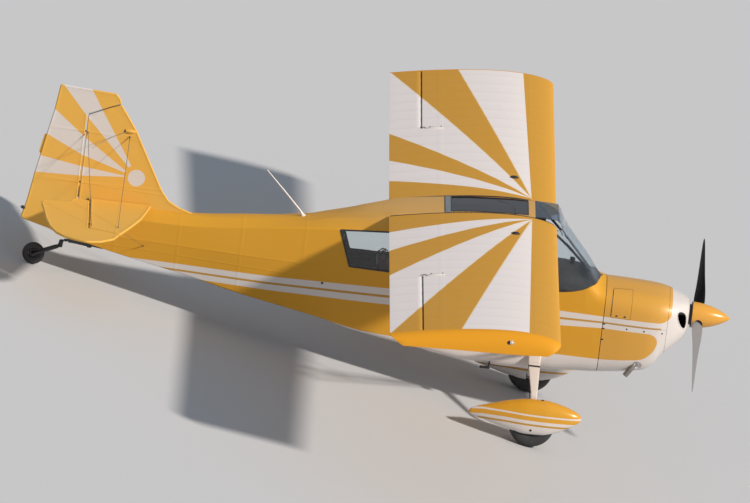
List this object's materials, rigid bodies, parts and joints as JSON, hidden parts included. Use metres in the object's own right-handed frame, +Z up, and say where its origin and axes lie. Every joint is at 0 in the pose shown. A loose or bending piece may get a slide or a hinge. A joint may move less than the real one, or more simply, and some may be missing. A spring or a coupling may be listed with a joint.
{
  "type": "aerobatic aircraft",
  "caption": "Two-seat strut-braced high-wing aerobatic light aircraft on a tailwheel gear, with a nose propeller and a tandem cabin.",
  "frame": {"origin": "on the ground under the middle of the aircraft, as it stands parked on its three wheels", "axes": "+X forward to the nose, +Y to the aircraft's left wing, +Z up"},
  "size_m": [6.8918, 9.754, 2.0974],
  "materials": {
    "yellow_fabric": "gloss",
    "nose_bowl_paint": "gloss",
    "cowl_paint": "gloss",
    "spinner_paint": "gloss",
    "blade_paint": "satin",
    "engine_metal": "matte",
    "exhaust_metal": "satin",
    "clear_glazing": "gloss",
    "white_metal": "gloss",
    "strut_paint": "gloss",
    "pant_paint": "gloss",
    "tyre_rubber": "matte",
    "wheel_metal": "satin",
    "dark_steel": "satin",
    "seat_fabric": "matte",
    "panel_plastic": "matte",
    "antenna_white": "gloss"
  },
  "bodies": {
    "airframe": {"antenna": "antenna_white", "boarding_step": "dark_steel", "brace_tubes": "dark_steel", "cabin_controls": "panel_plastic", "cabin_shell": "yellow_fabric", "engine_block": "engine_metal", "exhaust_stack": "exhaust_metal", "fin": "yellow_fabric", "front_seat_back": "seat_fabric", "front_seat_cushion": "seat_fabric", "front_seat_frame": "dark_steel", "instrument_panel": "panel_plastic", "left_front_strut": "strut_paint", "left_gear_leg": "white_metal", "left_jury_strut": "strut_paint", "left_rear_strut": "strut_paint", "left_stabilizer": "yellow_fabric", "left_tie_down": "dark_steel", "left_wheel_pant": "pant_paint", "left_wing": "yellow_fabric", "lower_cowl": "cowl_paint", "nose_bowl": "nose_bowl_paint", "oil_door": "cowl_paint", "rear_fuselage": "yellow_fabric", "rear_seat_back": "seat_fabric", "rear_seat_cushion": "seat_fabric", "rear_seat_frame": "dark_steel", "right_front_strut": "strut_paint", "right_gear_leg": "white_metal", "right_jury_strut": "strut_paint", "right_rear_strut": "strut_paint", "right_stabilizer": "yellow_fabric", "right_tie_down": "dark_steel", "right_wheel_pant": "pant_paint", "right_wing": "yellow_fabric", "side_windows": "clear_glazing", "skylight": "clear_glazing", "tail_brace_wires": "dark_steel", "tail_spring": "dark_steel", "upper_cowl": "cowl_paint", "windshield": "clear_glazing"},
    "door": {"cabin_door": "yellow_fabric", "door_window": "clear_glazing"},
    "propeller": {"spinner": "spinner_paint", "propeller_blades": "blade_paint"},
    "aileron_left": {"left_aileron": "yellow_fabric"},
    "aileron_right": {"right_aileron": "yellow_fabric"},
    "rudder_assembly": {"rudder": "yellow_fabric"},
    "elevator_assembly": {"left_elevator": "yellow_fabric", "right_elevator": "yellow_fabric", "elevator_torque_tube": "dark_steel"},
    "wheel_left": {"left_tyre": "tyre_rubber", "left_hub": "wheel_metal"},
    "wheel_right": {"right_tyre": "tyre_rubber", "right_hub": "wheel_metal"},
    "tailwheel_swivel": {"tailwheel_fork": "dark_steel"},
    "tailwheel": {"tail_tyre": "tyre_rubber", "tail_hub": "wheel_metal"}
  },
  "joints": [
    {"name": "propeller_spin", "type": "hinge", "parent": "airframe", "child": "propeller", "pos_m": [3.05693, 0, 1.48717], "axis": [0.9812, 0, 0.1931], "continuous": true},
    {"name": "door_hinge", "type": "hinge", "parent": "airframe", "child": "door", "pos_m": [1.50313, -0.382, 1.3036], "axis": [-0.1931, 0, 0.9812], "range_deg": [0, 60]},
    {"name": "left_aileron_hinge", "type": "hinge", "parent": "airframe", "child": "aileron_left", "pos_m": [0.21114, 3.726, 1.73387], "axis": [-0.0034, 0.9998, 0.0171], "range_deg": [-20, 20]},
    {"name": "right_aileron_hinge", "type": "hinge", "parent": "airframe", "child": "aileron_right", "pos_m": [0.21114, -3.726, 1.73387], "axis": [0.0034, 0.9998, -0.0171], "range_deg": [-20, 20]},
    {"name": "rudder_hinge", "type": "hinge", "parent": "airframe", "child": "rudder_assembly", "pos_m": [-3.00871, 0, 0.92504], "axis": [-0.1931, 0, 0.9812], "range_deg": [-25, 25]},
    {"name": "elevator_hinge", "type": "hinge", "parent": "airframe", "child": "elevator_assembly", "pos_m": [-2.8591, 0, 0.78632], "axis": [0, 1, 0], "range_deg": [-25, 29]},
    {"name": "left_wheel_spin", "type": "hinge", "parent": "airframe", "child": "wheel_left", "pos_m": [1.83325, 0.975, 0.222], "axis": [0, 1, 0], "continuous": true},
    {"name": "right_wheel_spin", "type": "hinge", "parent": "airframe", "child": "wheel_right", "pos_m": [1.83325, -0.975, 0.222], "axis": [0, 1, 0], "continuous": true},
    {"name": "tailwheel_swivel", "type": "hinge", "parent": "airframe", "child": "tailwheel_swivel", "pos_m": [-2.97611, 0, 0.29344], "axis": [0, 0, 1], "continuous": true},
    {"name": "tailwheel_spin", "type": "hinge", "parent": "tailwheel_swivel", "child": "tailwheel", "pos_m": [-3.19848, 0, 0.108], "axis": [0, 1, 0], "continuous": true}
  ],
  "couplings": [
    {"joint": "right_aileron_hinge", "follows": "left_aileron_hinge", "ratio": -1}
  ]
}
